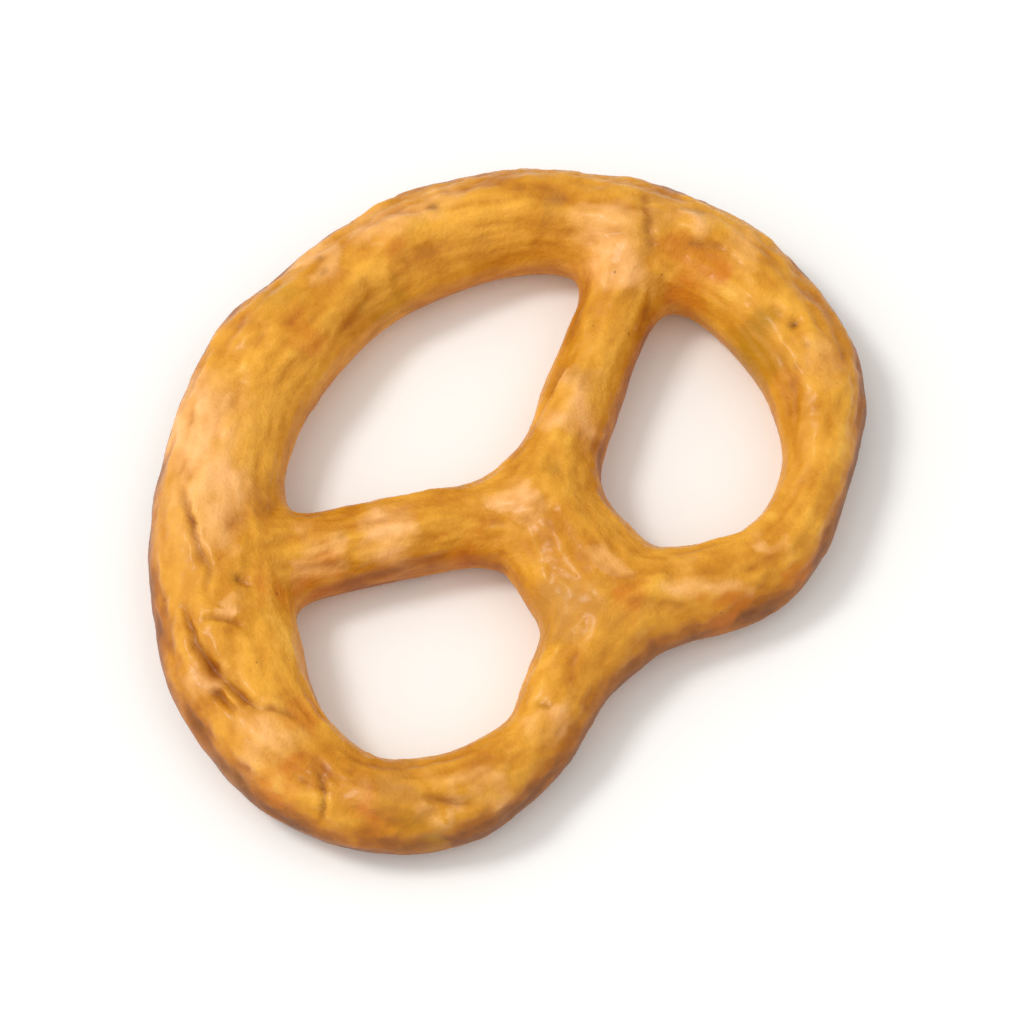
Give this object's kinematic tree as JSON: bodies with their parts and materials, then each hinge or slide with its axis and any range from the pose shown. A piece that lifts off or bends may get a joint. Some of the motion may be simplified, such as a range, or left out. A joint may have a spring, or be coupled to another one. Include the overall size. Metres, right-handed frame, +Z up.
{
  "type": "mini pretzel",
  "caption": "Small hard-baked pretzel: a loop of dough with a notched front, a thick stem and thin bars that leave lobe-shaped holes, lying flat.",
  "frame": {"origin": "middle of the bounding box on the flat underside that it rests on", "axes": "+Z up out of the domed crust, +Y from the notch towards the round back of the loop, +X across the lobes"},
  "size_m": [0.039, 0.0298, 0.0053],
  "materials": {
    "crust": "glossy golden baked crust with matte paler patches"
  },
  "bodies": {
    "root": {"pretzel": "crust"}
  },
  "joints": []
}
